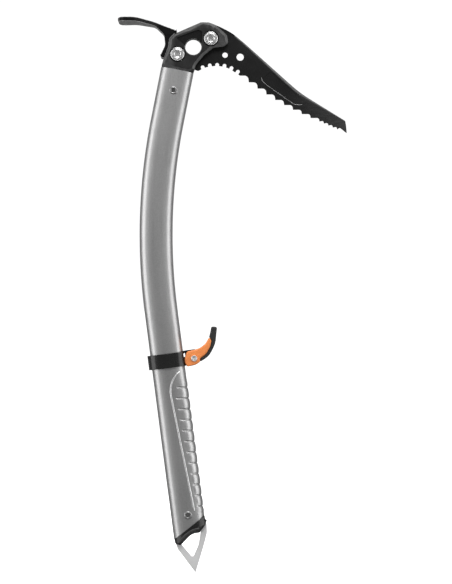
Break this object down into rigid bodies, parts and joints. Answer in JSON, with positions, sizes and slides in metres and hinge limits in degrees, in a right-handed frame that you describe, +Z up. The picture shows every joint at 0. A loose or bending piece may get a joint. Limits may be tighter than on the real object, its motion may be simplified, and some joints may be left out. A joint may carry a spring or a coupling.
{
  "type": "ice axe",
  "caption": "Technical ice axe with a bent oval shaft, a bolted pick and adze, a spike with an eye, and a sliding hand rest whose lever locks it on the shaft",
  "frame": {"origin": "centre of the clip-in hole through the head, midway through the head's thickness", "axes": "+Z up with the head at the top and the spike at the bottom, +X along the pick, -X along the adze, Y through the thickness with the screw heads on -Y"},
  "size_m": [0.2161, 0.049, 0.5237],
  "materials": {
    "shaft": "satin anodised, fine brushed",
    "head": "forged steel, satin black coating",
    "pick": "satin black coating, worn at the tip",
    "adze": "forged steel, satin black coating",
    "fastener": "bright zinc plated",
    "rivet": "stainless",
    "spike": "bead-blasted stainless",
    "black_plastic": "fine moulded texture",
    "orange_plastic": "satin moulded",
    "rubber": "fine moulded texture"
  },
  "bodies": {
    "axe": {"shaft": "shaft", "head": "head", "pick": "pick", "adze": "adze", "front_bolt": "fastener", "rear_bolt": "fastener", "front_nut": "fastener", "rear_nut": "fastener", "head_rivet": "rivet", "spike_rivet": "rivet", "spike": "spike", "end_plug": "black_plastic"},
    "rest": {"rest_band": "black_plastic", "pivot_sleeve": "fastener", "pivot_screw": "fastener"},
    "lever": {"rest_lever": "orange_plastic", "lever_overmould": "rubber"}
  },
  "joints": [
    {"name": "rest_slide", "type": "slide", "parent": "axe", "child": "rest", "axis": [-0.1288, 0, 0.9917], "range_m": [-0.135, 0.04]},
    {"name": "lever_pivot", "type": "hinge", "parent": "rest", "child": "lever", "pos_m": [0.00085, 0, -0.2943], "axis": [0, -1, 0], "range_deg": [0, 45]}
  ]
}
